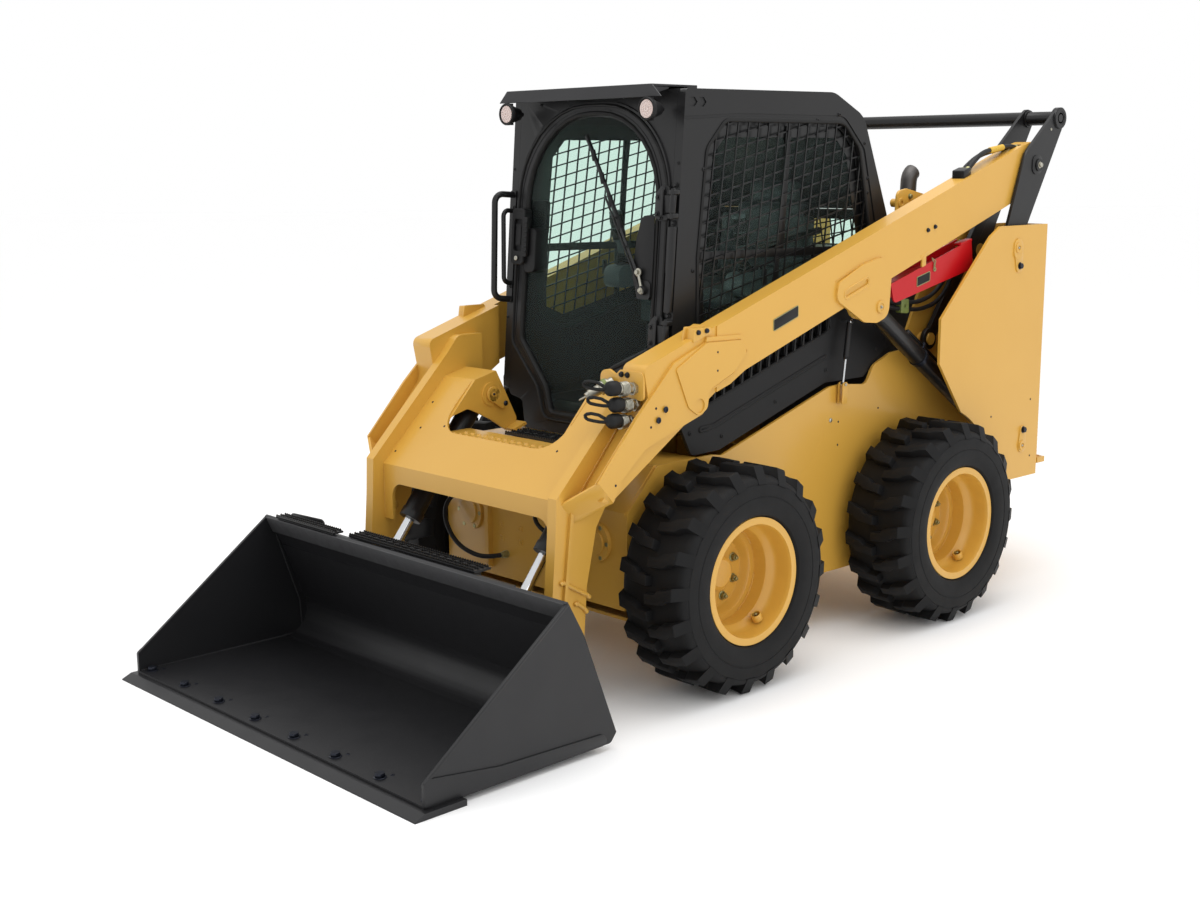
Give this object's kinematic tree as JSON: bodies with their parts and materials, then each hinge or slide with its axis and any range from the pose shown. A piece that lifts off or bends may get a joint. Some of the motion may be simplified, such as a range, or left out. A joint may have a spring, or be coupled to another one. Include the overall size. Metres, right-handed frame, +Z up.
{
  "type": "skid steer loader",
  "caption": "Compact wheeled loader with a vertical lift arm, an enclosed cab with a hinged door, tilt cylinders, a quick coupler and a bucket.",
  "frame": {"origin": "on the floor under the middle of the whole machine, bucket to bumper", "axes": "-Y forwards, +X to the machine's left, +Z up"},
  "size_m": [1.758, 3.837, 2.1],
  "materials": {
    "yellow_paint": "gloss",
    "black_paint": "satin",
    "bucket_paint": "satin",
    "rubber_tyre": "matte",
    "rubber_black": "matte",
    "red_paint": "gloss",
    "tinted_glass": "clear",
    "chrome_rod": "polished",
    "zinc_steel": "satin",
    "seat_vinyl": "matte",
    "black_plastic": "matte",
    "lamp_glass": "clear",
    "cast_engine": "rough",
    "exhaust_steel": "dull"
  },
  "bodies": {
    "chassis": {"axle_housings": "yellow_paint", "chassis_frame": "yellow_paint", "tower_left": "yellow_paint", "tower_right": "yellow_paint", "engine_block": "cast_engine", "rear_cowl": "black_paint", "exhaust_stack": "exhaust_steel", "side_skirts": "black_paint", "cab_side_left": "black_paint", "cab_side_right": "black_paint", "cab_front_frame": "black_paint", "cab_floor": "black_paint", "cab_rear_wall": "black_paint", "cab_roof": "black_paint", "guard_left": "black_paint", "guard_right": "black_paint", "guard_rear": "black_paint", "cab_glass": "tinted_glass", "seat": "seat_vinyl", "control_pods": "black_plastic", "lap_bar": "black_paint", "work_lamps": "lamp_glass", "grab_handle": "black_paint", "gas_struts": "zinc_steel"},
    "hood": {"hood": "black_paint"},
    "rear_door": {"rear_door": "yellow_paint"},
    "cab_door": {"door_frame": "black_paint", "door_glass": "tinted_glass", "door_latch": "black_plastic", "wiper": "black_paint"},
    "rear_link": {"rear_link": "black_paint"},
    "lift_arm": {"arm_left": "yellow_paint", "arm_right": "yellow_paint", "cross_member": "yellow_paint", "arm_brace": "red_paint", "hydraulic_couplings": "zinc_steel"},
    "control_links": {"control_links": "black_paint"},
    "lift_barrels": {"lift_barrels": "black_paint"},
    "lift_rods": {"lift_rods": "chrome_rod"},
    "tilt_barrels": {"tilt_barrels": "black_paint"},
    "tilt_rods": {"tilt_rods": "chrome_rod"},
    "coupler": {"quick_coupler": "bucket_paint", "bucket_shell": "bucket_paint", "cutting_edge": "bucket_paint", "bucket_steps": "bucket_paint"},
    "wheel_front_left": {"tyre_front_left": "rubber_tyre", "rim_front_left": "yellow_paint"},
    "wheel_front_right": {"tyre_front_right": "rubber_tyre", "rim_front_right": "yellow_paint"},
    "wheel_rear_left": {"tyre_rear_left": "rubber_tyre", "rim_rear_left": "yellow_paint"},
    "wheel_rear_right": {"tyre_rear_right": "rubber_tyre", "rim_rear_right": "yellow_paint"}
  },
  "joints": [
    {"name": "wheel_front_left_spin", "type": "hinge", "parent": "chassis", "child": "wheel_front_left", "pos_m": [0.685, -0.4035, 0.405], "axis": [1, 0, 0], "continuous": true},
    {"name": "wheel_front_right_spin", "type": "hinge", "parent": "chassis", "child": "wheel_front_right", "pos_m": [-0.685, -0.4035, 0.405], "axis": [1, 0, 0], "continuous": true},
    {"name": "wheel_rear_left_spin", "type": "hinge", "parent": "chassis", "child": "wheel_rear_left", "pos_m": [0.685, 0.8455, 0.405], "axis": [1, 0, 0], "continuous": true},
    {"name": "wheel_rear_right_spin", "type": "hinge", "parent": "chassis", "child": "wheel_rear_right", "pos_m": [-0.685, 0.8455, 0.405], "axis": [1, 0, 0], "continuous": true},
    {"name": "link_swing", "type": "hinge", "parent": "chassis", "child": "rear_link", "pos_m": [0, 1.4025, 1.454], "axis": [1, 0, 0], "range_deg": [0, 42.5]},
    {"name": "lift", "type": "hinge", "parent": "rear_link", "child": "lift_arm", "pos_m": [0, 1.5845, 1.811], "axis": [-1, 0, 0], "range_deg": [0, 100]},
    {"name": "control_swing", "type": "hinge", "parent": "chassis", "child": "control_links", "pos_m": [0, 1.0175, 1.11], "axis": [1, 0, 0], "range_deg": [0, 25.5]},
    {"name": "lift_barrel_swing", "type": "hinge", "parent": "chassis", "child": "lift_barrels", "pos_m": [0, 1.4925, 0.623], "axis": [-1, 0, 0], "range_deg": [0, 23.5]},
    {"name": "lift_rod_slide", "type": "slide", "parent": "lift_barrels", "child": "lift_rods", "axis": [0, -0.8293, 0.5588], "range_m": [0, 1.09]},
    {"name": "tilt", "type": "hinge", "parent": "lift_arm", "child": "coupler", "pos_m": [0, -1.0185, 0.2], "axis": [1, 0, 0], "range_deg": [-27, 98]},
    {"name": "tilt_barrel_swing", "type": "hinge", "parent": "lift_arm", "child": "tilt_barrels", "pos_m": [0, -0.6325, 0.97], "axis": [1, 0, 0], "range_deg": [-1.6, 5.2]},
    {"name": "tilt_rod_slide", "type": "slide", "parent": "tilt_barrels", "child": "tilt_rods", "axis": [0, -0.6165, -0.7874], "range_m": [-0.076, 0.27]},
    {"name": "door_swing", "type": "hinge", "parent": "chassis", "child": "cab_door", "pos_m": [0.44, -0.4347, 1.46], "axis": [0, -0.0797, -0.9968], "range_deg": [-60, 0]},
    {"name": "rear_door_swing", "type": "hinge", "parent": "chassis", "child": "rear_door", "pos_m": [0.446, 1.8585, 0.93], "axis": [0, 0, 1], "range_deg": [-100, 0]},
    {"name": "hood_lift", "type": "hinge", "parent": "chassis", "child": "hood", "pos_m": [0, 1.2325, 1.462], "axis": [-1, 0, 0], "range_deg": [-45, 0]}
  ],
  "couplings": [
    {"joint": "link_swing", "follows": "lift", "ratio": 0.42},
    {"joint": "control_swing", "follows": "lift", "ratio": 0.2517},
    {"joint": "lift_barrel_swing", "follows": "lift", "ratio": 0.2309},
    {"joint": "lift_rod_slide", "follows": "lift", "m_per_rad": 0.6228},
    {"joint": "tilt_barrel_swing", "follows": "tilt", "ratio": 0.05},
    {"joint": "tilt_rod_slide", "follows": "tilt", "m_per_rad": 0.156}
  ]
}
